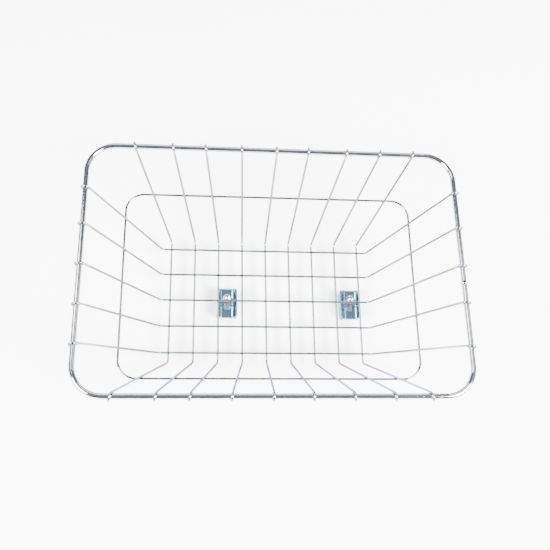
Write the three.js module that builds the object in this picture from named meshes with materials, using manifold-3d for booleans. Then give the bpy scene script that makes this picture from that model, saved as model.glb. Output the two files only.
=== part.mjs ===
// Open wire basket for a bicycle, with two screw clamps under its base.
//
// Units are millimetres, +Z is up and +X runs along the basket's long side. The origin is on the
// ground under the middle of the basket, which stands on the lips of its two clamp keepers.

import * as THREE from 'three';
import * as BufferGeometryUtils from 'three/addons/utils/BufferGeometryUtils.js';
import Module from 'manifold-3d';

const wasm = await Module();
wasm.setup();

// ---------------------------------------------------------------- driving dimensions

// Gap kept between metal that touches or is welded on the real basket.
const GAP = 0.3;

// Wire sizes, as radii, and the number of flats on each wire.
const RIM_RADIUS = 2.65;
const WIRE_RADIUS = 1.21;
const RIM_SIDES = 10;
const WIRE_SIDES = 8;

// Rim: a round-cornered rectangle, measured along the centre of the thick wire.
const RIM_LENGTH = 375.7;
const RIM_WIDTH = 254;
const RIM_CORNER = 29;
const RIM_HEIGHT_OVER_BASE = 115.5;

// Base grid: spacing of the wires, and how far past the outer wires the walls start.
const CROSS_WIRES = 9;
const CROSS_PITCH = 26.8;
const LONG_WIRES = 5;
const LONG_PITCH = 30;
const BASE_MARGIN = 10.1;
const BASE_BEND = 5;

// Where the wire ends hook over the rim, in order along X (cross wires) and along Y (long wires).
// The ends are pulled over by hand, so their spacing is a little uneven.
const BACK_HOOKS = [-141, -103, -70, -33, 3, 36, 76, 111, 146];
const FRONT_HOOKS = [-151, -111, -80, -42, -4, 33, 71, 109, 144];
const LEFT_HOOKS = [-79, -41, -1, 40, 79];
const RIGHT_HOOKS = [-79, -35, 3, 44, 83];

// A hook turns over the rim from the tangent of the wall to this angle below the horizontal.
const HOOK_END_ANGLE = THREE.MathUtils.degToRad(-52);
const HOOK_DRIFT = 1.6;

// Middle hoop, outside the walls.
const HOOP_HEIGHT_OVER_BASE = 60;
const HOOP_CORNER = 19;

// Butt welds: where the two ends of the rim and of the hoop meet, on the right-hand side.
const RIM_WELD_Y = -14.5;
const RIM_WELD_LENGTH = 5;
const RIM_WELD_RADIUS = 3.15;
const HOOP_WELD_Y = 22.5;
const HOOP_WELD_LENGTH = 3;
const HOOP_WELD_RADIUS = 1.5;

// Clamp plates: two pressed troughs back to back, each with one slot for the screw.
const PLATE_LENGTH = 34;
const PLATE_WIDTH = 23;
const SHEET = 1.6;
const TROUGH_DEPTH = 5.2;
const PLATE_CORNER = 2;
const SLOT_WIDTH = 6.2;
const SLOT_LENGTH = 15.8;
const SLOT_CORNER = 1.2;
const LIP_INSET = 1.6;
const LEFT_CLAMP_WIRE = 2;
const RIGHT_CLAMP_WIRE = 8;

// Clamp fasteners: an M5 pan-head screw, its washer and its nut.
const SCREW_RADIUS = 2.5;
const SCREW_LENGTH = 16;
const SCREW_OFFSET = 4.9;
const HEAD_RADIUS = 4.5;
const HEAD_HEIGHT = 3.3;
const WASHER_RADIUS = 5;
const WASHER_THICKNESS = 1;
const WASHER_BORE = 2.8;
const NUT_FLATS = 8;
const NUT_HEIGHT = 4;
const NUT_BORE = 2.8;

// ---------------------------------------------------------------- heights that follow from them

const wireHalf = WIRE_RADIUS * Math.cos(Math.PI / WIRE_SIDES);
const keeperFloorTop = TROUGH_DEPTH + SHEET;
const bracketFloorTop = keeperFloorTop + GAP + SHEET;
const bracketTop = bracketFloorTop + TROUGH_DEPTH;
const crossZ = bracketTop + GAP + wireHalf;
const longZ = crossZ + 2 * wireHalf + GAP;
const baseZ = (crossZ + longZ) / 2;
const rimZ = baseZ + RIM_HEIGHT_OVER_BASE;
const hoopZ = baseZ + HOOP_HEIGHT_OVER_BASE;
const hookRadius = RIM_RADIUS + WIRE_RADIUS + GAP + 0.1;
const wallStartX = (CROSS_WIRES - 1) / 2 * CROSS_PITCH + BASE_MARGIN;
const wallStartY = (LONG_WIRES - 1) / 2 * LONG_PITCH + BASE_MARGIN;

// ---------------------------------------------------------------- materials

const material = (color, roughness) => new THREE.MeshStandardMaterial({ color, roughness, metalness: 1 });
const RIM_ZINC = material(0xc3c9cf, 0.2);
const WIRE_ZINC = material(0xb4b6b0, 0.26);
const PLATE_ZINC = material(0x9fb4c2, 0.3);
const FASTENER_ZINC = material(0xb9bdc2, 0.28);

const basket = new THREE.Group();

function addNode(name, geometry, finish) {
  const mesh = new THREE.Mesh(geometry, finish);
  mesh.name = name;
  basket.add(mesh);
  return mesh;
}

// ---------------------------------------------------------------- joining and cutting

function toSolid(geometry) {
  const bare = geometry.clone();
  bare.deleteAttribute('normal');
  bare.deleteAttribute('uv');
  const merged = BufferGeometryUtils.mergeVertices(bare, 1e-4);
  return new wasm.Manifold(new wasm.Mesh({
    numProp: 3,
    vertProperties: new Float32Array(merged.attributes.position.array),
    triVerts: new Uint32Array(merged.index.array),
  }));
}

function toGeometry(solid) {
  const mesh = solid.getMesh();
  const geometry = new THREE.BufferGeometry();
  geometry.setAttribute('position', new THREE.BufferAttribute(new Float32Array(mesh.vertProperties), 3));
  geometry.setIndex(new THREE.BufferAttribute(new Uint32Array(mesh.triVerts), 1));
  geometry.computeVertexNormals();
  return geometry;
}

// ---------------------------------------------------------------- bent wire

// A path with one cross-section at each of its points, so that a straight takes a single step.
class BentWirePath extends THREE.Curve {
  constructor(points) {
    super();
    this.points = points;
  }

  getPoint(t, target = new THREE.Vector3()) {
    const place = t * (this.points.length - 1);
    const index = Math.min(Math.floor(place), this.points.length - 2);
    return target.lerpVectors(this.points[index], this.points[index + 1], place - index);
  }

  getPointAt(u, target) {
    return this.getPoint(u, target);
  }

  getTangentAt(u, target = new THREE.Vector3()) {
    const index = Math.round(u * (this.points.length - 1));
    const before = this.points[Math.max(index - 1, 0)];
    const here = this.points[index];
    const after = this.points[Math.min(index + 1, this.points.length - 1)];
    const arriving = here.clone().sub(before).normalize();
    const leaving = after.clone().sub(here).normalize();
    return target.addVectors(arriving, leaving).normalize();
  }
}

function wireSection(radius, sides) {
  const corners = [];
  for (let i = 0; i < sides; i += 1) {
    const angle = (i + 0.5) * 2 * Math.PI / sides;
    corners.push(new THREE.Vector2(radius * Math.cos(angle), radius * Math.sin(angle)));
  }
  return new THREE.Shape(corners);
}

function sweepWire(points, radius, sides) {
  return new THREE.ExtrudeGeometry(wireSection(radius, sides), {
    steps: points.length - 1,
    extrudePath: new BentWirePath(points),
    curveSegments: 1,
  });
}

// Points of an arc in the (reach, height) plane.
function arcPoints(centre, radius, fromAngle, toAngle, steps) {
  const points = [];
  for (let i = 0; i <= steps; i += 1) {
    const angle = THREE.MathUtils.lerp(fromAngle, toAngle, i / steps);
    points.push([centre[0] + radius * Math.cos(angle), centre[1] + radius * Math.sin(angle)]);
  }
  return points;
}

// Half of a U-shaped wire as (reach, height) points, from its base bend to the end of its hook.
// reach is measured outwards from the middle of the basket.
function wallProfile(bendReach, bendZ, rimReach) {
  const toRim = [rimReach - bendReach, rimZ - bendZ];
  const distance = Math.hypot(...toRim);
  const slope = Math.atan2(toRim[1], toRim[0]) + Math.asin(hookRadius / distance);
  const setback = BASE_BEND * Math.tan(slope / 2);
  const bend = arcPoints([bendReach - setback, bendZ + BASE_BEND], BASE_BEND, -Math.PI / 2, slope - Math.PI / 2, 3);
  const hook = arcPoints([rimReach, rimZ], hookRadius, slope + Math.PI / 2, HOOK_END_ANGLE, 7);
  return { bend, hook };
}

// One wire bent as a U. place(reach, height, along) puts a profile point in the basket: along is
// the coordinate beside the wire, which changes from its base line to its hook's place on the rim.
function bentWire(profile, along, minusHook, plusHook, place) {
  const side = (sign, hookAlong) => {
    const drift = HOOK_DRIFT * Math.sign(hookAlong - along || 1);
    const points = profile.bend.map(([reach, z]) => place(sign * reach, z, along));
    profile.hook.forEach(([reach, z], i) => {
      const turned = i / (profile.hook.length - 1);
      points.push(place(sign * reach, z, hookAlong + drift * turned));
    });
    return points;
  };
  return [...side(-1, minusHook).reverse(), ...side(1, plusHook)];
}

const crossProfile = wallProfile(wallStartY, crossZ, RIM_WIDTH / 2);
const longProfile = wallProfile(wallStartX, longZ, RIM_LENGTH / 2);

for (let i = 0; i < CROSS_WIRES; i += 1) {
  const x = (i - (CROSS_WIRES - 1) / 2) * CROSS_PITCH;
  const place = (reach, z, along) => new THREE.Vector3(along, reach, z);
  const points = bentWire(crossProfile, x, FRONT_HOOKS[i], BACK_HOOKS[i], place);
  addNode(`cross_wire_${i + 1}`, sweepWire(points, WIRE_RADIUS, WIRE_SIDES), WIRE_ZINC);
}

for (let i = 0; i < LONG_WIRES; i += 1) {
  const y = (i - (LONG_WIRES - 1) / 2) * LONG_PITCH;
  const place = (reach, z, along) => new THREE.Vector3(reach, along, z);
  const points = bentWire(longProfile, y, LEFT_HOOKS[i], RIGHT_HOOKS[i], place);
  addNode(`long_wire_${i + 1}`, sweepWire(points, WIRE_RADIUS, WIRE_SIDES), WIRE_ZINC);
}

// ---------------------------------------------------------------- rim and hoop

// Reach of a wall's outer face at a height, plus room for the hoop's own wire.
function hoopReach(profile) {
  const [fromReach, fromZ] = profile.bend[profile.bend.length - 1];
  const [toReach, toZ] = profile.hook[0];
  const wallReach = THREE.MathUtils.mapLinear(hoopZ, fromZ, toZ, fromReach, toReach);
  const lean = Math.atan2(toReach - fromReach, toZ - fromZ);
  return wallReach + (2 * WIRE_RADIUS + GAP) / Math.cos(lean);
}

// A round-cornered rectangle of wire whose ends meet in a butt weld on its right-hand side.
function wireLoop(halfLength, halfWidth, corner, z, radius, sides, weldY, weldLength, weldRadius) {
  const points = [new THREE.Vector3(halfLength, weldY + GAP, z)];
  const corners = [[1, 1, 0], [-1, 1, 1], [-1, -1, 2], [1, -1, 3]];
  for (const [signX, signY, quarter] of corners) {
    const centre = [signX * (halfLength - corner), signY * (halfWidth - corner)];
    const start = quarter * Math.PI / 2;
    for (const [x, y] of arcPoints(centre, corner, start, start + Math.PI / 2, 6)) {
      points.push(new THREE.Vector3(x, y, z));
    }
  }
  points.push(new THREE.Vector3(halfLength, weldY - GAP, z));

  const bead = new THREE.LatheGeometry([
    new THREE.Vector2(0, -weldLength / 2),
    new THREE.Vector2(weldRadius, -weldLength / 5),
    new THREE.Vector2(weldRadius, weldLength / 5),
    new THREE.Vector2(0, weldLength / 2),
  ], 12);
  bead.translate(halfLength, weldY, 0);
  bead.translate(0, 0, z);
  return toGeometry(toSolid(sweepWire(points, radius, sides)).add(toSolid(bead)));
}

addNode('rim_wire', wireLoop(
  RIM_LENGTH / 2, RIM_WIDTH / 2, RIM_CORNER, rimZ, RIM_RADIUS, RIM_SIDES,
  RIM_WELD_Y, RIM_WELD_LENGTH, RIM_WELD_RADIUS,
), RIM_ZINC);

addNode('mid_hoop', wireLoop(
  hoopReach(longProfile), hoopReach(crossProfile), HOOP_CORNER, hoopZ, WIRE_RADIUS, WIRE_SIDES,
  HOOP_WELD_Y, HOOP_WELD_LENGTH, HOOP_WELD_RADIUS,
), WIRE_ZINC);

// ---------------------------------------------------------------- clamps

// A rectangle with round corners, in the XY plane.
function roundRectangle(length, width, corner) {
  const x = length / 2 - corner;
  const y = width / 2 - corner;
  const shape = new THREE.Shape();
  shape.absarc(x, y, corner, 0, Math.PI / 2);
  shape.absarc(-x, y, corner, Math.PI / 2, Math.PI);
  shape.absarc(-x, -y, corner, Math.PI, 1.5 * Math.PI);
  shape.absarc(x, -y, corner, 1.5 * Math.PI, 2 * Math.PI);
  return shape;
}

function upright(shape, depth, segments) {
  return new THREE.ExtrudeGeometry(shape, { depth, bevelEnabled: false, curveSegments: segments });
}

// The pressed plate, open upwards, with the top of its floor at z = 0 and its lips above it.
function clampPlate() {
  const outerBend = TROUGH_DEPTH + SHEET;
  const innerBend = TROUGH_DEPTH;
  const bendX = PLATE_WIDTH / 2 - outerBend;
  const section = new THREE.Shape();
  section.absarc(bendX, innerBend, outerBend, -Math.PI / 2, 0);
  section.absarc(bendX, innerBend, innerBend, 0, -Math.PI / 2, true);
  section.absarc(-bendX, innerBend, innerBend, -Math.PI / 2, -Math.PI, true);
  section.absarc(-bendX, innerBend, outerBend, Math.PI, 1.5 * Math.PI);
  const trough = upright(section, PLATE_LENGTH, 5);
  trough.rotateX(Math.PI / 2);
  trough.translate(0, PLATE_LENGTH / 2, 0);

  const outline = upright(roundRectangle(PLATE_WIDTH + 0.2, PLATE_LENGTH - 0.1, PLATE_CORNER), 20, 3);
  outline.translate(0, 0, -5);
  const slot = upright(roundRectangle(SLOT_WIDTH, SLOT_LENGTH, SLOT_CORNER), 8, 2);
  slot.translate(0, 0, -4);
  return toGeometry(toSolid(trough).intersect(toSolid(outline)).subtract(toSolid(slot)));
}

function screw() {
  const top = SCREW_LENGTH;
  const chamfer = 0.6;
  return new THREE.LatheGeometry([
    new THREE.Vector2(0, -HEAD_HEIGHT),
    new THREE.Vector2(HEAD_RADIUS - 1.2, -HEAD_HEIGHT),
    new THREE.Vector2(HEAD_RADIUS, -HEAD_HEIGHT + 1.2),
    new THREE.Vector2(HEAD_RADIUS, 0),
    new THREE.Vector2(SCREW_RADIUS, 0),
    new THREE.Vector2(SCREW_RADIUS, top - chamfer),
    new THREE.Vector2(SCREW_RADIUS - chamfer, top),
    new THREE.Vector2(0, top),
  ], 16).rotateX(Math.PI / 2);
}

function ringShape(outline, bore) {
  const hole = new THREE.Path();
  hole.absarc(0, 0, bore, 0, 2 * Math.PI);
  outline.holes.push(hole);
  return outline;
}

function washer() {
  const disc = new THREE.Shape();
  disc.absarc(0, 0, WASHER_RADIUS, 0, 2 * Math.PI);
  return upright(ringShape(disc, WASHER_BORE), WASHER_THICKNESS, 16);
}

function nut() {
  const corner = NUT_FLATS / Math.sqrt(3);
  return upright(ringShape(wireSection(corner, 6), NUT_BORE), NUT_HEIGHT, 12);
}

// One clamp: its outer lip lies under the cross wire with the given index, and outward says on
// which side of the clamp that wire is.
function addClamp(side, wireIndex, outward) {
  const wireX = (wireIndex - (CROSS_WIRES - 1) / 2) * CROSS_PITCH;
  const x = wireX - outward * (PLATE_WIDTH / 2 - LIP_INSET);
  const washerZ = bracketFloorTop + GAP;
  const nutZ = washerZ + WASHER_THICKNESS + GAP;
  const headTop = TROUGH_DEPTH - GAP;

  addNode(`${side}_clamp_bracket`, clampPlate(), PLATE_ZINC).position.set(x, 0, bracketFloorTop);
  const keeper = addNode(`${side}_clamp_keeper`, clampPlate(), PLATE_ZINC);
  keeper.rotation.y = Math.PI;
  keeper.position.set(x, 0, TROUGH_DEPTH);
  addNode(`${side}_clamp_screw`, screw(), FASTENER_ZINC).position.set(x, SCREW_OFFSET, headTop);
  addNode(`${side}_clamp_washer`, washer(), FASTENER_ZINC).position.set(x, SCREW_OFFSET, washerZ);
  addNode(`${side}_clamp_nut`, nut(), FASTENER_ZINC).position.set(x, SCREW_OFFSET, nutZ);
}

addClamp('left', LEFT_CLAMP_WIRE, -1);
addClamp('right', RIGHT_CLAMP_WIRE, 1);

export default basket;
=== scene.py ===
# %% [markdown]
# # A bent-wire bicycle basket
# The basket is one thick rim wire, one thin hoop and fourteen thin wires bent to a U, all steel
# and all zinc-plated, with two screw clamps of pressed sheet under the base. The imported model
# gives the places and most sizes. This script bends the same wires again, round and smooth, the
# thin ones with a radius between the faceted wire's flats and its corners, and gives each piece
# its finish.

# %% Load the frame
import math
import random

import bmesh
import bpy
from mathutils import Matrix, Vector


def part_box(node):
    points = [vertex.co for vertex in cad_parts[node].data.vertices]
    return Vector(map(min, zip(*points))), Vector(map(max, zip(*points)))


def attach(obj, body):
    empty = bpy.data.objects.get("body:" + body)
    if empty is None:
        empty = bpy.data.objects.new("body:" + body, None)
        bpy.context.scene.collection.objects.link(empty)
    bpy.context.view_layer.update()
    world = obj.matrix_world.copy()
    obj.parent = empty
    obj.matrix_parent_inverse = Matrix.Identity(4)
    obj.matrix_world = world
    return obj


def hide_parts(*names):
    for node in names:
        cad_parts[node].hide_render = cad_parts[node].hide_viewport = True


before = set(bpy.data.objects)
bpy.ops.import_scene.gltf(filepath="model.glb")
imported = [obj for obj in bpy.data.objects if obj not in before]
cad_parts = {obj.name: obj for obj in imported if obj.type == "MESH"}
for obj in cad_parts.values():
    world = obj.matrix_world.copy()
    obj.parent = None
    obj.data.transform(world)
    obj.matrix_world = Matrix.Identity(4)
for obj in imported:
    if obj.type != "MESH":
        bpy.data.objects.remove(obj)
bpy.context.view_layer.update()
MM = 0.001
print("nodes:", len(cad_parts))

# %% [markdown]
# ## The camera
# The basket is seen from above and a little from the front and left. The camera comes first,
# so that every later piece can be judged in the same view. It is aimed at a point on the
# ground with a track quaternion, and then rolled about its own axis.

# %% Camera
CAMERA_PLACE = Vector((-69.2, -240.5, 783.2)) * MM
CAMERA_AIM = Vector((12.6, 37.7, 0.0)) * MM
CAMERA_ROLL = math.radians(16.36)
CAMERA_LENS = 46.79

camera_data = bpy.data.cameras.new("camera")
camera_data.lens = CAMERA_LENS
camera = bpy.data.objects.new("camera", camera_data)
bpy.context.scene.collection.objects.link(camera)
look = (CAMERA_AIM - CAMERA_PLACE).to_track_quat("-Z", "Y").to_matrix()
rolled = look @ Matrix.Rotation(CAMERA_ROLL, 3, "Z")
camera.matrix_world = Matrix.Translation(CAMERA_PLACE) @ rolled.to_4x4()
bpy.context.scene.camera = camera
print("camera distance:", round((CAMERA_AIM - CAMERA_PLACE).length, 3))

# %% [markdown]
# ## Reading a wire off the model
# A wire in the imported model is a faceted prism. To bend the same wire again, the script needs
# a few places along its centre. Cutting a copy of the prism with a plane leaves a small ring of
# cut points, and their middle is on the wire's centre line.

# %% Where a plane cuts a wire
def cut_centres(node, point, normal, keep):
    """Middle of the cut that a plane makes in a node, of the cut points that keep() accepts."""
    copy = bmesh.new()
    copy.from_mesh(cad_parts[node].data)
    bmesh.ops.remove_doubles(copy, verts=copy.verts[:], dist=1e-6)
    cut = bmesh.ops.bisect_plane(copy, geom=copy.verts[:] + copy.edges[:] + copy.faces[:],
                                 plane_co=point, plane_no=normal)
    places = [g.co.copy() for g in cut["geom_cut"] if isinstance(g, bmesh.types.BMVert) and keep(g.co)]
    copy.free()
    low = Vector([min(p[k] for p in places) for k in range(3)])
    high = Vector([max(p[k] for p in places) for k in range(3)])
    return (low + high) / 2


rim_low, rim_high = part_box("rim_wire")
RIM_RADIUS = 2.65 * MM
WIRE_RADIUS = 1.16 * MM
FACETED_WIRE_RADIUS = 1.21 * MM
RIM_CORNER = 29 * MM
HOOP_CORNER = 19 * MM
rim_z = (rim_low.z + rim_high.z) / 2
rim_half = Vector((-rim_low.x - RIM_RADIUS, -rim_low.y - RIM_RADIUS, 0))
hoop_low, hoop_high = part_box("mid_hoop")
hoop_z = (hoop_low.z + hoop_high.z) / 2
print("rim centre line:", [round(v / MM, 1) for v in rim_half.xy * 2], "at", round(rim_z / MM, 1))

# %% [markdown]
# ## A wire bender
# A wire could be a curve with a bevel, but bmesh operators bend it the way the machine does: a
# ring of vertices is pulled along a straight with extrude_edge_only, and carried round a former
# with spin. A spin with a sideways shift makes the slight helix of a wire that wraps over the
# rim. Each call returns the new end ring, so the calls chain.

# %% Pull and turn
WIRE_SIDES = 16
SHEARED_ROUND = 0.28 * MM


def start_ring(bm, place, heading, radius, sides):
    made = bmesh.ops.create_circle(bm, cap_ends=False, radius=radius, segments=sides)
    turned = Vector((0, 0, 1)).rotation_difference(heading).to_matrix().to_4x4()
    bmesh.ops.transform(bm, matrix=Matrix.Translation(place) @ turned, verts=made["verts"])
    return list({edge for vert in made["verts"] for edge in vert.link_edges})


def ring_verts(ring):
    return list({vert for edge in ring for vert in edge.verts})


def ring_centre(ring):
    verts = ring_verts(ring)
    return sum((vert.co for vert in verts), Vector()) / len(verts)


def pull(bm, ring, shift):
    made = bmesh.ops.extrude_edge_only(bm, edges=ring)["geom"]
    verts = [g for g in made if isinstance(g, bmesh.types.BMVert)]
    bmesh.ops.translate(bm, vec=shift, verts=verts)
    fresh = set(verts)
    return [g for g in made if isinstance(g, bmesh.types.BMEdge) and set(g.verts) <= fresh]


def turn(bm, ring, centre, axis, angle, steps, drift=Vector()):
    made = bmesh.ops.spin(bm, geom=ring_verts(ring) + ring, cent=centre, axis=axis, dvec=drift / steps,
                          angle=angle, steps=steps, use_merge=False, use_duplicate=False)["geom_last"]
    return [g for g in made if isinstance(g, bmesh.types.BMEdge)]


def sheared_end(bm, ring):
    """Closes a wire with the flat, slightly rounded face that cutters leave."""
    bmesh.ops.contextual_create(bm, geom=ring)
    bmesh.ops.bevel(bm, geom=ring, offset=SHEARED_ROUND, segments=2, profile=0.5, affect="EDGES",
                    material=-1, clamp_overlap=True)


def finish_piece(bm, name, body, smooth_angle=40):
    """Turns a bmesh into an object whose place is in its mesh, and lets it ride on a body."""
    bmesh.ops.recalc_face_normals(bm, faces=bm.faces[:])
    mesh = bpy.data.meshes.new(name)
    bm.to_mesh(mesh)
    bm.free()
    mesh.shade_smooth()
    mesh.set_sharp_from_angle(angle=math.radians(smooth_angle))
    piece = bpy.data.objects.new(name, mesh)
    bpy.context.scene.collection.objects.link(piece)
    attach(piece, body)
    return piece


# %% [markdown]
# ## The U-shaped wires
# Nine wires cross the base and five run along it. Each is bent up at both ends of the base,
# leans outwards as a wall, goes over the rim and ends in a short hook below it. Each half is
# built from the middle of the base outwards, in a plane of its own, so one function does all
# twenty-eight ends: it is told which way is outwards and which way is along the rim.

# %% One wall, from the base to the hook
HOOK_RADIUS = RIM_RADIUS + WIRE_RADIUS + 0.02 * MM
HOOK_END = math.radians(-48)
HOOK_STEPS = 22
HOOK_DRIFT = 0.8
BASE_BEND = 5 * MM
BASE_BEND_STEPS = 8
TAIL = 1.2 * MM
WALL_LOW = 45 * MM
WALL_HIGH = 118 * MM


def bend_wall(bm, ring, middle, foot, outward, rim_reach, hook_along):
    """Bends one half of a wire. foot is the corner of its base bend, outward its direction in
    the base, and hook_along its place along the rim where it first meets the rim."""
    up = Vector((0, 0, 1))
    along = up.cross(outward)
    rim_centre = outward * rim_reach + up * rim_z
    gap = Vector((rim_reach - foot.dot(outward), rim_z - foot.z))
    slope = math.atan2(gap.y, gap.x) + math.asin(HOOK_RADIUS / gap.length)
    square = slope + math.pi / 2
    touch = rim_centre + HOOK_RADIUS * (outward * math.cos(square) + up * math.sin(square))
    touch += along * hook_along
    heading = (touch - foot).normalized()

    angle = outward.angle(heading)
    axis = outward.cross(heading).normalized()
    setback = BASE_BEND * math.tan(angle / 2)
    ring = pull(bm, ring, outward * ((foot - middle).dot(outward) - setback))
    bend_centre = foot - outward * setback + axis.cross(outward) * BASE_BEND
    ring = turn(bm, ring, bend_centre, axis, angle, BASE_BEND_STEPS)
    ring = pull(bm, ring, touch - ring_centre(ring))

    wrap = square - HOOK_END
    rise = heading.dot(along) / math.hypot(heading.dot(outward), heading.z)
    drift = along * rise * wrap * HOOK_RADIUS * HOOK_DRIFT
    ring = turn(bm, ring, rim_centre, along, wrap, HOOK_STEPS, drift)
    tail = Vector((math.cos(HOOK_END - math.pi / 2), math.sin(HOOK_END - math.pi / 2)))
    ring = pull(bm, ring, (outward * tail.x + up * tail.y) * TAIL)
    sheared_end(bm, ring)


def wall_line(node, outward):
    """Two places on the straight of a wall, low and high."""
    def on_side(co):
        return co.dot(outward) > 0
    up = Vector((0, 0, 1))
    return [cut_centres(node, up * z, up, on_side) for z in (WALL_LOW, WALL_HIGH)]


def u_wire(node, outward, rim_reach, set_down):
    up = Vector((0, 0, 1))
    along = up.cross(outward)
    middle = cut_centres(node, Vector(), outward, lambda co: True)
    middle.z += set_down
    bm = bmesh.new()
    first_ring = start_ring(bm, middle, outward, WIRE_RADIUS, WIRE_SIDES)
    for side in (outward, -outward):
        low, high = wall_line(node, side)
        lean = (high - low) / (high.z - low.z)
        foot = low + lean * (middle.z - low.z)
        foot = side * foot.dot(side) + up * middle.z + along * middle.dot(along)
        at_rim = low + lean * (rim_z - low.z)
        bend_wall(bm, first_ring, middle, foot, side, rim_reach, at_rim.dot(up.cross(side)))
    piece = finish_piece(bm, node + "_bent", "basket")
    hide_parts(node)
    return piece, middle


SET_DOWN = 0.16 * MM
cross_wires = [u_wire(f"cross_wire_{i}", Vector((0, 1, 0)), rim_half.y, SET_DOWN)
               for i in range(1, 10)]
long_wires = [u_wire(f"long_wire_{i}", Vector((1, 0, 0)), rim_half.x, -SET_DOWN)
              for i in range(1, 6)]
print("cross wires at x =", [round(middle.x / MM, 1) for _, middle in cross_wires])
print("long wires at y =", [round(middle.y / MM, 1) for _, middle in long_wires])

# %% [markdown]
# ## Rim and hoop
# Both are closed loops with round corners: five pulls and four turns, ending where they
# started. Their ends are butt-welded on the right-hand side, and the weld leaves a low collar
# of squeezed-out metal, which is a small turned profile spun round the wire.

# %% Closed loops
CORNER_STEPS = 18
COLLAR_STEPS = 40
RIM_SIDES = 32
RIM_WELD_Y = -14.5 * MM
RIM_COLLAR = 0.95 * MM
HOOP_WELD_Y = 22.5 * MM
HOOP_COLLAR = 0.4 * MM
HOOP_INSET = 0.45 * MM
# A collar's outline along and away from the wire, as shares of the collar's height.
COLLAR_OUTLINE = [(-3.2, -0.15), (-1.6, 0.1), (-1.0, 0.8), (-0.35, 1.0), (0.0, 0.55), (0.35, 0.95),
                  (1.0, 0.75), (1.7, 0.1), (3.2, -0.15)]


def wire_loop(name, node, half_x, half_y, corner, z, radius, sides, weld_y, collar):
    up = Vector((0, 0, 1))
    bm = bmesh.new()
    start = Vector((half_x, weld_y, z))
    first = start_ring(bm, start, Vector((0, 1, 0)), radius, sides)
    ring = pull(bm, first, Vector((0, half_y - corner - weld_y, 0)))
    straights = [Vector((corner - half_x, 0, 0)) * 2, Vector((0, corner - half_y, 0)) * 2,
                 Vector((half_x - corner, 0, 0)) * 2, Vector((0, half_y - corner + weld_y, 0))]
    centres = [(1, 1), (-1, 1), (-1, -1), (1, -1)]
    for (sign_x, sign_y), straight in zip(centres, straights):
        centre = Vector((sign_x * (half_x - corner), sign_y * (half_y - corner), z))
        ring = turn(bm, ring, centre, up, math.pi / 2, CORNER_STEPS)
        ring = pull(bm, ring, straight)
    bmesh.ops.remove_doubles(bm, verts=bm.verts[:], dist=0.02 * MM)
    add_collar(bm, start, radius, collar)
    piece = finish_piece(bm, name, "basket")
    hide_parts(node)
    return piece


def add_collar(bm, place, radius, height):
    """The squeezed-out ring of a butt weld, round a wire that runs along Y."""
    verts = [bm.verts.new(place + Vector((radius + rise * height, run * height, 0)))
             for run, rise in COLLAR_OUTLINE]
    edges = [bm.edges.new(pair) for pair in zip(verts, verts[1:])]
    bmesh.ops.spin(bm, geom=verts + edges, cent=place, axis=(0, 1, 0), angle=2 * math.pi,
                   steps=COLLAR_STEPS, use_merge=True)


hoop_half = Vector((-hoop_low.x - FACETED_WIRE_RADIUS - HOOP_INSET,
                    -hoop_low.y - FACETED_WIRE_RADIUS - HOOP_INSET, 0))
rim_wire = wire_loop("rim_wire_bent", "rim_wire", rim_half.x, rim_half.y, RIM_CORNER, rim_z,
                     RIM_RADIUS, RIM_SIDES, RIM_WELD_Y, RIM_COLLAR)
mid_hoop = wire_loop("mid_hoop_bent", "mid_hoop", hoop_half.x, hoop_half.y, HOOP_CORNER, hoop_z,
                     WIRE_RADIUS, WIRE_SIDES, HOOP_WELD_Y, HOOP_COLLAR)
print("rim faces:", len(rim_wire.data.polygons), "hoop faces:", len(mid_hoop.data.polygons))

# %% [markdown]
# ## Welds
# Where two wires touch, a resistance weld sinks them a little into each other and squeezes out a
# small lip of metal. It could be a boolean union with a fillet, but at this size a flattened,
# slightly uneven bead between the two wires reads the same and keeps the wires clean. The beads
# of the base, of the hoop and of the rim are one mesh each.

# %% Weld beads
WELD_SEED = 11
BASE_BEAD = Vector((1.62, 1.62, 0.8)) * MM
HOOP_BEAD = Vector((1.5, 1.5, 0.75)) * MM
RIM_BEAD = Vector((1.5, 1.8, 0.8)) * MM
RIM_BEAD_OUT = 1.2


def weld_beads(name, places, size):
    """places holds (centre, across) pairs; across is the direction in which the bead is flat."""
    chance = random.Random(WELD_SEED)
    bm = bmesh.new()
    for centre, across in places:
        spread = [chance.uniform(0.88, 1.15) for _ in range(3)]
        shape = Matrix.Diagonal((size.x * spread[0], size.y * spread[1], size.z * spread[2], 1))
        spin = Matrix.Rotation(chance.uniform(0, math.pi), 4, "Z")
        facing = Vector((0, 0, 1)).rotation_difference(across).to_matrix().to_4x4()
        made = bmesh.ops.create_icosphere(bm, subdivisions=2, radius=1,
                                          matrix=Matrix.Translation(centre) @ facing @ shape @ spin)
        for vert in made["verts"]:
            vert.co += (vert.co - centre) * chance.uniform(-0.06, 0.06)
    piece = finish_piece(bm, name, "basket", 80)
    return piece


up = Vector((0, 0, 1))
base_places = [(Vector((cross.x, long.y, (cross.z + long.z) / 2)), up)
               for _, cross in cross_wires for _, long in long_wires]
base_welds = weld_beads("base_welds", base_places, BASE_BEAD)

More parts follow.
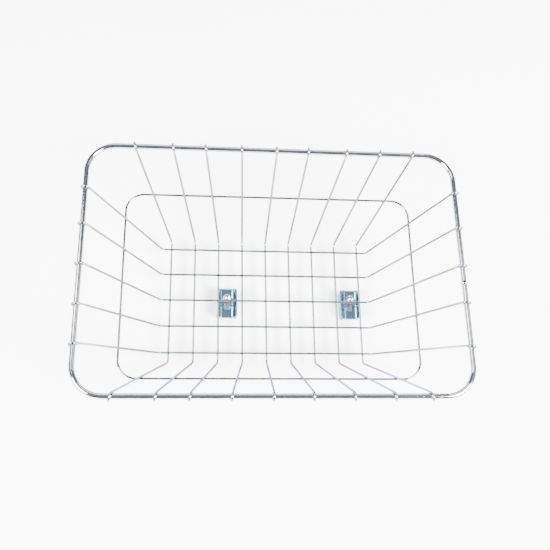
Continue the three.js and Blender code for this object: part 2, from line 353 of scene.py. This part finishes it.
hoop_places = []
rim_places = []
for wires, outward in ((cross_wires, Vector((0, 1, 0))), (long_wires, Vector((1, 0, 0)))):
    for piece, _ in wires:
        for side in (outward, -outward):
            low, high = wall_line(piece.name.replace("_bent", ""), side)
            lean = (high - low) / (high.z - low.z)
            off_wall = side.cross(lean).cross(lean).normalized() * -1
            if off_wall.dot(side) < 0:
                off_wall = -off_wall
            hoop_places.append((low + lean * (hoop_z - low.z) + off_wall * WIRE_RADIUS, off_wall))
            rim_places.append((low + lean * (rim_z - low.z) + side * WIRE_RADIUS * RIM_BEAD_OUT, side))
hoop_welds = weld_beads("hoop_welds", hoop_places, HOOP_BEAD)
rim_welds = weld_beads("rim_welds", rim_places, RIM_BEAD)
print("welds:", len(base_places), len(hoop_places), len(rim_places))

# %% [markdown]
# ## Clamp plates
# Each clamp is two pressings of 1.6 mm sheet, back to back. The sheet starts as one flat face:
# its long edges are spun up into the curved flanks, as the press tool forms them. The slot and
# the outline are punched with boolean cutters, and a bevel rounds the punched edges.

# %% Pressed plates
SHEET = 1.6 * MM
PLATE_CORNER = 3.6 * MM
LIP_EASE = 0.08 * MM
SLOT_HALF = Vector((3.1, 7.9)) * MM
SLOT_CORNER = 1.2 * MM
OUTLINE_EASE = 0.05 * MM
PUNCHED_ROUND = 0.22 * MM
FLANK_STEPS = 12


def block(half, corner, segments, name):
    """A block with rounded upright edges, used only as a punch."""
    bm = bmesh.new()
    made = bmesh.ops.create_cube(bm, size=2, matrix=Matrix.Diagonal((half.x, half.y, half.z, 1)))
    edges = {e for v in made["verts"] for e in v.link_edges}
    upright = [e for e in edges if abs(e.verts[0].co.z - e.verts[1].co.z) > half.z]
    bmesh.ops.bevel(bm, geom=upright, offset=corner, segments=segments, profile=0.5,
                    affect="EDGES", material=-1)
    bmesh.ops.recalc_face_normals(bm, faces=bm.faces[:])
    mesh = bpy.data.meshes.new(name)
    bm.to_mesh(mesh)
    bm.free()
    return bpy.data.objects.new(name, mesh)


def apply_modifiers(piece, cutters):
    """Bakes a piece's modifiers into its mesh and throws its cutters away."""
    for cutter in cutters:
        bpy.context.scene.collection.objects.link(cutter)
    bpy.context.view_layer.update()
    seen = piece.evaluated_get(bpy.context.evaluated_depsgraph_get())
    mesh = bpy.data.meshes.new_from_object(seen)
    piece.modifiers.clear()
    piece.data = mesh
    for cutter in cutters:
        bpy.data.objects.remove(cutter)


def punch(piece, cutter, operation):
    modifier = piece.modifiers.new(cutter.name, "BOOLEAN")
    modifier.operation = operation
    modifier.object = cutter
    modifier.solver = "EXACT"


def place_mesh(piece, matrix, smooth_angle=35):
    """Welds the slivers a punch leaves, closes any gap, and puts the mesh in its place."""
    bm = bmesh.new()
    bm.from_mesh(piece.data)
    bmesh.ops.remove_doubles(bm, verts=bm.verts[:], dist=2e-6)
    bmesh.ops.dissolve_degenerate(bm, edges=bm.edges[:], dist=2e-6)
    gaps = [e for e in bm.edges if len(e.link_faces) == 1]
    if gaps:
        bmesh.ops.holes_fill(bm, edges=gaps, sides=0)
    bmesh.ops.recalc_face_normals(bm, faces=bm.faces[:])
    bm.to_mesh(piece.data)
    bm.free()
    piece.data.transform(matrix)
    if matrix.determinant() < 0:
        piece.data.flip_normals()
    piece.data.shade_smooth()
    piece.data.set_sharp_from_angle(angle=math.radians(smooth_angle))


def pressed_plate(side, part, body, flip):
    node = f"{side}_clamp_{part}"
    low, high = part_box(node)
    half_width = (high.x - low.x) / 2
    half_length = (high.y - low.y) / 2
    depth = high.z - low.z
    bend = depth - SHEET / 2 - LIP_EASE
    floor_half = half_width - depth
    bm = bmesh.new()
    bmesh.ops.create_grid(bm, x_segments=2, y_segments=16, size=1,
                          matrix=Matrix.Diagonal((floor_half, half_length, 1, 1)))
    for sign in (1, -1):
        edges = [e for e in bm.edges if all(abs(v.co.x - sign * floor_half) < 1e-7 for v in e.verts)]
        verts = list({v for e in edges for v in e.verts})
        bmesh.ops.spin(bm, geom=edges + verts, cent=(sign * floor_half, 0, bend),
                       axis=(0, -sign, 0), angle=math.pi / 2, steps=FLANK_STEPS)
    bmesh.ops.remove_doubles(bm, verts=bm.verts[:], dist=1e-7)
    bmesh.ops.recalc_face_normals(bm, faces=bm.faces[:])
    mesh = bpy.data.meshes.new(node + "_pressed")
    bm.to_mesh(mesh)
    bm.free()
    plate = bpy.data.objects.new(node + "_pressed", mesh)
    bpy.context.scene.collection.objects.link(plate)

    sheet = plate.modifiers.new("sheet", "SOLIDIFY")
    sheet.thickness = SHEET
    sheet.offset = 0
    outline_half = Vector((half_width + OUTLINE_EASE, half_length - OUTLINE_EASE, depth * 2))
    outline = block(outline_half, PLATE_CORNER, 6, "outline")
    slot = block(SLOT_HALF.to_3d() + Vector((0, 0, depth)), SLOT_CORNER, 4, "slot")
    punch(plate, outline, "INTERSECT")
    punch(plate, slot, "DIFFERENCE")
    edge = plate.modifiers.new("edge", "BEVEL")
    edge.width = PUNCHED_ROUND
    edge.segments = 2
    edge.limit_method = "ANGLE"
    edge.angle_limit = math.radians(40)
    apply_modifiers(plate, [outline, slot])

    middle = (low + high) / 2
    floor_z = high.z - SHEET / 2 if flip else low.z + SHEET / 2
    turned = Matrix.Rotation(math.pi, 4, "Y") if flip else Matrix.Identity(4)
    place_mesh(plate, Matrix.Translation((middle.x, middle.y, floor_z)) @ turned)
    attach(plate, body)
    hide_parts(node)
    return plate


plates = []
for side in ("left", "right"):
    plates.append(pressed_plate(side, "bracket", "basket", False))
    plates.append(pressed_plate(side, "keeper", f"{side}_keeper", True))
print("plates:", [(p.name, len(p.data.polygons)) for p in plates])

# %% [markdown]
# ## Screws, washers and nuts
# The thread is a real helix: one pitch of its outline, spun upwards by one pitch a turn. The
# nut is a six-sided bar whose corners are turned down by a cone, which a boolean with a spun
# profile gives, and the pan head gets its cross recess from two tapered blades.

# %% Fasteners
PITCH = 0.8 * MM
CREST = 2.47 * MM
ROOT = 2.08 * MM
THREAD_START = 0.25 * MM
THREAD_STEPS = 20
HEAD_HEIGHT = 3.3
NUT_RADIUS = 4.62 * MM
WASHER_BORE = 2.7


def spun(name, outline, steps):
    """A closed turned shape round Z, from (radius, height) points in mm that start and end on the axis."""
    bm = bmesh.new()
    verts = [bm.verts.new((radius * MM, 0, height * MM)) for radius, height in outline]
    edges = [bm.edges.new(pair) for pair in zip(verts, verts[1:])]
    bmesh.ops.spin(bm, geom=verts + edges, cent=(0, 0, 0), axis=(0, 0, 1), angle=2 * math.pi, steps=steps,
                   use_merge=True)
    bmesh.ops.remove_doubles(bm, verts=bm.verts[:], dist=1e-7)
    bmesh.ops.recalc_face_normals(bm, faces=bm.faces[:])
    mesh = bpy.data.meshes.new(name)
    bm.to_mesh(mesh)
    bm.free()
    return bpy.data.objects.new(name, mesh)


def recess_blade(name, angle, height):
    """One blade of the cross recess, which narrows towards its point. height is its middle, in mm."""
    bm = bmesh.new()
    made = bmesh.ops.create_cube(bm, size=2, matrix=Matrix.Diagonal((2.3 * MM, 0.5 * MM, 1.9 * MM, 1)))
    inner = [v for v in made["verts"] if v.co.z > 0]
    bmesh.ops.scale(bm, vec=(0.35, 0.35, 1), verts=inner)
    bmesh.ops.transform(bm, verts=bm.verts[:], matrix=Matrix.Translation((0, 0, height * MM))
                        @ Matrix.Rotation(angle, 4, "Z"))
    bmesh.ops.recalc_face_normals(bm, faces=bm.faces[:])
    mesh = bpy.data.meshes.new(name)
    bm.to_mesh(mesh)
    bm.free()
    return bpy.data.objects.new(name, mesh)


def clamp_screw(side):
    node = f"{side}_clamp_screw"
    low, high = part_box(node)
    axis = (low + high) / 2
    length = (high.z - low.z) / MM - HEAD_HEIGHT
    outline = [(0, -HEAD_HEIGHT), (1.6, -3.25), (3.1, -2.9), (4.1, -2.1), (4.5, -1.1), (4.5, -0.15),
               (4.38, 0), (ROOT / MM, 0), (ROOT / MM, length - 0.6), (1.6, length - 0.05),
               (0, length - 0.05)]
    head = spun(node + "_cut", outline, 40)
    bpy.context.scene.collection.objects.link(head)
    blades = [recess_blade("blade_along", 0.2, -3.7),
              recess_blade("blade_across", 0.2 + math.pi / 2, -3.71)]
    for blade in blades:
        punch(head, blade, "DIFFERENCE")
    apply_modifiers(head, blades)

    bm = bmesh.new()
    bm.from_mesh(head.data)
    turns = int((length - 1.0) / (PITCH / MM))
    thread = [(ROOT - 0.05 * MM, 0), (CREST, 0.33 * PITCH), (CREST, 0.45 * PITCH),
              (ROOT - 0.05 * MM, 0.78 * PITCH)]
    verts = [bm.verts.new((radius, 0, THREAD_START + height)) for radius, height in thread]
    edges = [bm.edges.new((verts[k - 1], verts[k])) for k in range(len(verts))]
    steps = THREAD_STEPS * turns
    run = bmesh.ops.spin(bm, geom=verts + edges, cent=(0, 0, 0), axis=(0, 0, 1),
                         dvec=(0, 0, PITCH * turns / steps), angle=2 * math.pi * turns, steps=steps)
    last = [v for v in run["geom_last"] if isinstance(v, bmesh.types.BMVert)]
    bm.faces.new(verts)
    bmesh.ops.contextual_create(bm, geom=last)
    bmesh.ops.translate(bm, vec=(axis.x, axis.y, low.z + HEAD_HEIGHT * MM), verts=bm.verts[:])
    bm.to_mesh(head.data)
    bm.free()
    return head


def clamp_washer(side):
    low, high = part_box(f"{side}_clamp_washer")
    outer = (high.x - low.x) / 2 / MM
    thick = (high.z - low.z) / MM
    bm = bmesh.new()
    outline = [(WASHER_BORE, 0.12), (2.82, 0), (outer - 0.2, 0), (outer, 0.2), (outer, thick - 0.1),
               (outer - 0.1, thick), (2.82, thick), (WASHER_BORE, thick - 0.12)]
    verts = [bm.verts.new((radius * MM, 0, height * MM)) for radius, height in outline]
    edges = [bm.edges.new((verts[k - 1], verts[k])) for k in range(len(verts))]
    bmesh.ops.spin(bm, geom=verts + edges, cent=(0, 0, 0), axis=(0, 0, 1), angle=2 * math.pi, steps=40,
                   use_merge=True)
    bmesh.ops.translate(bm, vec=((low.x + high.x) / 2, (low.y + high.y) / 2, low.z), verts=bm.verts[:])
    return finish_piece(bm, f"{side}_clamp_washer_turned", "basket")


def clamp_nut(side):
    node = f"{side}_clamp_nut"
    low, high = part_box(node)
    height = (high.z - low.z) / MM
    bm = bmesh.new()
    bmesh.ops.create_cone(bm, cap_ends=True, segments=6, radius1=NUT_RADIUS, radius2=NUT_RADIUS,
                          depth=height * MM, matrix=Matrix.Translation((0, 0, height / 2 * MM)))
    mesh = bpy.data.meshes.new(node + "_cut")
    bm.to_mesh(mesh)
    bm.free()
    nut = bpy.data.objects.new(node + "_cut", mesh)
    bpy.context.scene.collection.objects.link(nut)
    turned = spun("turned", [(0, -0.01), (3.9, -0.01), (4.75, 0.5), (4.75, height - 0.5),
                             (3.9, height + 0.01), (0, height + 0.01)], 48)
    bore = spun("bore", [(0, -1), (3.2, -1), (3.2, -0.1), (2.5, 0.5), (2.5, height - 0.5),
                         (3.2, height + 0.1), (3.2, height + 1), (0, height + 1)], 32)
    punch(nut, turned, "INTERSECT")
    punch(nut, bore, "DIFFERENCE")
    apply_modifiers(nut, [turned, bore])
    place_mesh(nut, Matrix.Translation(((low.x + high.x) / 2, (low.y + high.y) / 2, low.z)))
    return nut


fasteners = []
for side in ("left", "right"):
    screw = clamp_screw(side)
    place_mesh(screw, Matrix.Identity(4), 30)
    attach(screw, f"{side}_keeper")
    nut = clamp_nut(side)
    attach(nut, f"{side}_nut")
    washer = clamp_washer(side)
    for piece, part in ((screw, "screw"), (nut, "nut"), (washer, "washer")):
        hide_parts(f"{side}_clamp_{part}")
        fasteners.append(piece)

# %% Check the fasteners against the frame
def check_piece(piece, node):
    """Stops unless a fastener is closed and as tall as its own node in the frame."""
    bm = bmesh.new()
    bm.from_mesh(piece.data)
    loose = sum(1 for e in bm.edges if len(e.link_faces) != 2)
    low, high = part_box(node)
    heights = [v.co.z for v in bm.verts]
    bm.free()
    gap = max(abs(min(heights) - low.z), abs(max(heights) - high.z))
    if loose or gap > 0.3 * MM:
        raise ValueError(f"{piece.name}: {loose} open edges, {gap / MM:.2f} mm short of {node}")
    print(node, "is closed and full height")


for side in ("left", "right"):
    for piece, part in zip(fasteners[0 if side == "left" else 3:], ("screw", "nut", "washer")):
        check_piece(piece, f"{side}_clamp_{part}")

# %% [markdown]
# ## Zinc plate, as shader groups
# The plate is shown as a metal with a thin film on it. Two effects make it: cloudy changes and a
# fine grain in the gloss, and pale colours that pass from straw to rose, violet and blue, where the
# straw on the other walls is made darker as painted shade. Each effect is one node group. The first
# is in every finish, and the second only in that of the fourteen thin wires.

# %% Group helpers
def new_group(name, inputs, outputs):
    group = bpy.data.node_groups.new(name, "ShaderNodeTree")
    for label, kind, value in inputs:
        socket = group.interface.new_socket(label, in_out="INPUT", socket_type=kind)
        socket.default_value = value
    for label, kind in outputs:
        group.interface.new_socket(label, in_out="OUTPUT", socket_type=kind)
    return group, group.nodes.new("NodeGroupInput"), group.nodes.new("NodeGroupOutput")


def add_node(tree, kind, **settings):
    node = tree.nodes.new(kind)
    for key, value in settings.items():
        setattr(node, key, value)
    return node


def math_node(tree, operation, first, second=0.5, clamp=False):
    node = add_node(tree, "ShaderNodeMath", operation=operation, use_clamp=clamp)
    for socket, value in zip(node.inputs, (first, second)):
        if isinstance(value, (int, float)):
            socket.default_value = value
        else:
            tree.links.new(value, socket)
    return node.outputs[0]


def noise(tree, vector, scale, detail, roughness=0.55):
    node = add_node(tree, "ShaderNodeTexNoise")
    node.inputs["Scale"].default_value = scale
    node.inputs["Detail"].default_value = detail
    node.inputs["Roughness"].default_value = roughness
    tree.links.new(vector, node.inputs["Vector"])
    return node.outputs["Fac"]


def ramp(tree, value, stops):
    node = add_node(tree, "ShaderNodeValToRGB")
    while len(node.color_ramp.elements) < len(stops):
        node.color_ramp.elements.new(0.5)
    for element, (place, colour) in zip(node.color_ramp.elements, stops):
        element.position = place
        element.color = (*colour, 1)
    tree.links.new(value, node.inputs["Fac"])
    return node.outputs["Color"]


# %% Plating texture: gloss and tiny relief
CLOUD_SCALE = 90
FINE_SCALE = 1500
GRAIN_SCALE = 420
SPARKLE = 0.08
FINE_SHARE = 0.35
GRAIN_SHARE = 0.65
WEAR_START = 0.58
WEAR_SLOPE = 6.0


def plating_texture():
    group, given, out = new_group(
        "plating_texture",
        [("Position", "NodeSocketVector", (0, 0, 0)), ("Gloss", "NodeSocketFloat", 0.2),
         ("Cloud", "NodeSocketFloat", 0.1)],
        [("Roughness", "NodeSocketFloat"), ("Relief", "NodeSocketFloat"), ("Wear", "NodeSocketFloat")])
    place = given.outputs["Position"]
    cloud = noise(group, place, CLOUD_SCALE, 4)
    fine = noise(group, place, FINE_SCALE, 3, 0.7)
    grains = noise(group, place, GRAIN_SCALE, 2)
    swing = math_node(group, "MULTIPLY", math_node(group, "SUBTRACT", cloud, 0.5), given.outputs["Cloud"])
    sparkle = math_node(group, "MULTIPLY", math_node(group, "SUBTRACT", fine, 0.5), SPARKLE)
    cloudy = math_node(group, "ADD", given.outputs["Gloss"], swing)
    rough = math_node(group, "ADD", cloudy, sparkle, clamp=True)
    fine_relief = math_node(group, "MULTIPLY", fine, FINE_SHARE)
    grain_relief = math_node(group, "MULTIPLY", grains, GRAIN_SHARE)
    relief = math_node(group, "ADD", fine_relief, grain_relief)
    past_start = math_node(group, "SUBTRACT", grains, WEAR_START)
    worn = math_node(group, "MULTIPLY", past_start, WEAR_SLOPE, clamp=True)
    group.links.new(rough, out.inputs["Roughness"])
    group.links.new(relief, out.inputs["Relief"])
    group.links.new(worn, out.inputs["Wear"])
    return group


PLATING_TEXTURE = plating_texture()
print("group:", PLATING_TEXTURE.name)

# %% [markdown]
# The film's colour goes by place on the basket: brown and rosy low on the front wall, violet and blue
# above it, straw on the other walls, made darker there as painted shade, blue-grey in the base, and
# plain silver on the hooks at the rim. Every wire takes its own stretch of the colours.

# %% Film colour by place
BASE_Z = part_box("cross_wire_1")[0].z
WALL_FOOT_Y = -0.068
HOOK_SILVER = (0.24, 0.25, 0.265)
DRIFT_SCALE = 24
DRIFT_SIZE = 0.3
FRONT_SLOPE = 120.0
WALL_SLOPE = 9.0
HOOK_START = 0.94
HOOK_SLOPE = 25.0
# Colours up the front wall, as (share of the height, colour).
FRONT_FILM = [(0.0, (0.3, 0.33, 0.38)), (0.05, (0.22, 0.15, 0.1)), (0.18, (0.3, 0.13, 0.19)),
              (0.4, (0.31, 0.19, 0.48)), (0.62, (0.2, 0.31, 0.56)), (0.8, (0.21, 0.4, 0.49)),
              (1.0, (0.32, 0.35, 0.37))]


def film_colour():
    group, given, out = new_group(
        "film_colour",
        [("Position", "NodeSocketVector", (0, 0, 0)),
         ("Base", "NodeSocketColor", (0.6, 0.66, 0.72, 1)),
         ("Walls", "NodeSocketColor", (0.66, 0.64, 0.53, 1))],
        [("Color", "NodeSocketColor")])
    split = add_node(group, "ShaderNodeSeparateXYZ")
    group.links.new(given.outputs["Position"], split.inputs[0])
    above_base = math_node(group, "SUBTRACT", split.outputs["Z"], BASE_Z)
    height = math_node(group, "DIVIDE", above_base, rim_z - BASE_Z, clamp=True)
    patches = noise(group, given.outputs["Position"], DRIFT_SCALE, 2)
    drift = math_node(group, "MULTIPLY", math_node(group, "SUBTRACT", patches, 0.5), DRIFT_SIZE)
    film = math_node(group, "ADD", height, drift, clamp=True)
    front_colours = ramp(group, film, FRONT_FILM)
    past_foot = math_node(group, "SUBTRACT", WALL_FOOT_Y, split.outputs["Y"])
    on_front = math_node(group, "MULTIPLY", past_foot, FRONT_SLOPE, clamp=True)
    # The walls take the wall colour given: straw film, darkened as painted shade.
    on_wall = math_node(group, "MULTIPLY", height, WALL_SLOPE, clamp=True)
    walls = add_node(group, "ShaderNodeMix", data_type="RGBA")
    group.links.new(on_wall, walls.inputs["Factor"])
    group.links.new(given.outputs["Base"], walls.inputs["A"])
    group.links.new(given.outputs["Walls"], walls.inputs["B"])
    front = add_node(group, "ShaderNodeMix", data_type="RGBA")
    group.links.new(on_front, front.inputs["Factor"])
    group.links.new(walls.outputs["Result"], front.inputs["A"])
    group.links.new(front_colours, front.inputs["B"])
    past_walls = math_node(group, "SUBTRACT", height, HOOK_START)
    near_rim = math_node(group, "MULTIPLY", past_walls, HOOK_SLOPE, clamp=True)
    hooks = add_node(group, "ShaderNodeMix", data_type="RGBA")
    group.links.new(near_rim, hooks.inputs["Factor"])
    group.links.new(front.outputs["Result"], hooks.inputs["A"])
    hooks.inputs["B"].default_value = (*HOOK_SILVER, 1)
    group.links.new(hooks.outputs["Result"], out.inputs["Color"])
    return group


FILM_COLOUR = film_colour()
print("group:", FILM_COLOUR.name)

# %% [markdown]
# ## Finishes
# Every finish is one Principled shader. Its colour is a given one, or comes from the film group; the
# plating group gives its roughness and, through a Bump node, its relief. The edge tint darkens the
# reflection at a slant.

# %% Build a finish
EDGE_TINT = (0.3, 0.3, 0.3, 1)
RELIEF_DEPTH = 0.00006


def zinc_finish(name, colour, dark, gloss, cloud, relief, film=None):
    material = bpy.data.materials.new(name)
    material.use_nodes = True
    tree = material.node_tree
    shader = tree.nodes["Principled BSDF"]
    shader.inputs["Metallic"].default_value = 1.0
    shader.inputs["Specular Tint"].default_value = EDGE_TINT
    place = add_node(tree, "ShaderNodeTexCoord").outputs["Object"]

    texture = add_node(tree, "ShaderNodeGroup", node_tree=PLATING_TEXTURE)
    texture.inputs["Gloss"].default_value = gloss
    texture.inputs["Cloud"].default_value = cloud
    tree.links.new(place, texture.inputs["Position"])
    tree.links.new(texture.outputs["Roughness"], shader.inputs["Roughness"])
    bump = add_node(tree, "ShaderNodeBump")
    bump.inputs["Strength"].default_value = relief
    bump.inputs["Distance"].default_value = RELIEF_DEPTH
    tree.links.new(texture.outputs["Relief"], bump.inputs["Height"])
    tree.links.new(bump.outputs["Normal"], shader.inputs["Normal"])

    tint = add_node(tree, "ShaderNodeMix", data_type="RGBA")
    tree.links.new(texture.outputs["Wear"], tint.inputs["Factor"])
    tint.inputs["A"].default_value = (*colour, 1)
    tint.inputs["B"].default_value = (*dark, 1)
    if film:
        painted = add_node(tree, "ShaderNodeGroup", node_tree=FILM_COLOUR)
        painted.inputs["Base"].default_value = (*film[0], 1)
        painted.inputs["Walls"].default_value = (*film[1], 1)
        tree.links.new(place, painted.inputs["Position"])
        tree.links.new(painted.outputs["Color"], tint.inputs["A"])
    tree.links.new(tint.outputs["Result"], shader.inputs["Base Color"])
    return material


def dress(piece, material):
    piece.data.materials.clear()
    piece.data.materials.append(material)


BASE_BLUE = (0.3, 0.34, 0.4)
# The other walls' colour is straw film, made far darker than zinc as painted shade, so the steep wires there
# do not mirror the bright table.
WALL_STRAW_SHADED = (0.165, 0.152, 0.095)
rim_zinc = zinc_finish("rim_zinc", (0.38, 0.4, 0.43), (0.26, 0.28, 0.31), 0.09, 0.05, 0.25)
wire_zinc = zinc_finish("wire_zinc", BASE_BLUE, (0.22, 0.23, 0.23), 0.12, 0.08, 0.3, (BASE_BLUE, WALL_STRAW_SHADED))
hoop_zinc = zinc_finish("hoop_zinc", (0.18, 0.185, 0.19), (0.11, 0.11, 0.115), 0.12, 0.08, 0.3)
# The beads are darker than the wire: partly discoloured weld metal, partly painted shade where the wires
# cross.
weld_discolour_and_shade = zinc_finish("weld_discolour_and_shade", (0.24, 0.24, 0.25), (0.14, 0.14, 0.14), 0.36, 0.2, 0.8)
plate_zinc = zinc_finish("plate_zinc", (0.24, 0.38, 0.5), (0.16, 0.27, 0.37), 0.18, 0.12, 0.3)
fastener_zinc = zinc_finish("fastener_zinc", (0.5, 0.52, 0.55), (0.34, 0.35, 0.38), 0.24, 0.12, 0.3)

dress(rim_wire, rim_zinc)
dress(mid_hoop, hoop_zinc)
for piece, _ in cross_wires + long_wires:
    dress(piece, wire_zinc)
for piece in (base_welds, hoop_welds, rim_welds):
    dress(piece, weld_discolour_and_shade)
for piece in plates:
    dress(piece, plate_zinc)
for piece in fasteners:
    dress(piece, fastener_zinc)
print("finishes:", [m.name for m in bpy.data.materials if m.users])

# %% [markdown]
# ## Table and light
# The basket stands on a plain white table. Two strong lamps stand at the front corners and three
# weak ones behind. Polished wire shows mostly what it reflects, so the room round the table is
# kept dark at the horizon and paler overhead.

# %% Table
def pale_table():
    material = bpy.data.materials.new("table_white")
    material.use_nodes = True
    tree = material.node_tree
    shader = tree.nodes["Principled BSDF"]
    place = add_node(tree, "ShaderNodeTexCoord").outputs["Object"]
    colour = ramp(tree, noise(tree, place, 3, 2), [(0.3, (0.93, 0.93, 0.92)), (0.7, (0.95, 0.95, 0.95))])
    tree.links.new(colour, shader.inputs["Base Color"])
    shader.inputs["Roughness"].default_value = 0.7
    shader.inputs["Specular IOR Level"].default_value = 0.2
    bm = bmesh.new()
    bmesh.ops.create_grid(bm, x_segments=1, y_segments=1, size=1.6)
    mesh = bpy.data.meshes.new("table")
    bm.to_mesh(mesh)
    bm.free()
    mesh.materials.append(material)
    table = bpy.data.objects.new("table", mesh)
    bpy.context.scene.collection.objects.link(table)


pale_table()

# %% Lamps and room
def lamp(name, place, aim, size, power, colour=(1, 1, 1)):
    data = bpy.data.lights.new(name, "AREA")
    data.shape = "RECTANGLE"
    data.size, data.size_y = size
    data.energy = power
    data.color = colour
    light = bpy.data.objects.new(name, data)
    bpy.context.scene.collection.objects.link(light)
    turned = (Vector(aim) - Vector(place)).to_track_quat("-Z", "Y").to_matrix().to_4x4()
    light.matrix_world = Matrix.Translation(place) @ turned


lamp("right_key", (1.75, -0.95, 1.9), (0, 0, 0), (1.3, 1.3), 720)
lamp("left_key", (-1.9, -0.9, 1.8), (0, 0, 0), (1.2, 1.2), 460)
lamp("back_softbox", (0.13, 1.45, 1.5), (0, 0, 0.05), (1.3, 0.5), 26, (0.97, 0.99, 1))
lamp("left_softbox", (-0.85, 0.45, 1.5), (0, 0, 0.05), (0.4, 0.7), 20, (0.97, 0.99, 1))
lamp("right_softbox", (1.0, 0.4, 1.45), (0, 0, 0.05), (0.4, 0.7), 4, (0.97, 0.99, 1))

ROOM_DARK = (0.07, 0.072, 0.075)
ROOM_LIGHT = (0.5, 0.55, 0.62)
world = bpy.data.worlds.new("room")
world.use_nodes = True
bpy.context.scene.world = world
room = world.node_tree
heading = add_node(room, "ShaderNodeTexCoord").outputs["Generated"]
parts = add_node(room, "ShaderNodeSeparateXYZ")
room.links.new(heading, parts.inputs[0])
sky = ramp(room, parts.outputs["Z"], [(0.3, ROOM_DARK), (0.85, ROOM_LIGHT)])
background = room.nodes["Background"]
room.links.new(sky, background.inputs["Color"])
background.inputs["Strength"].default_value = 1.0
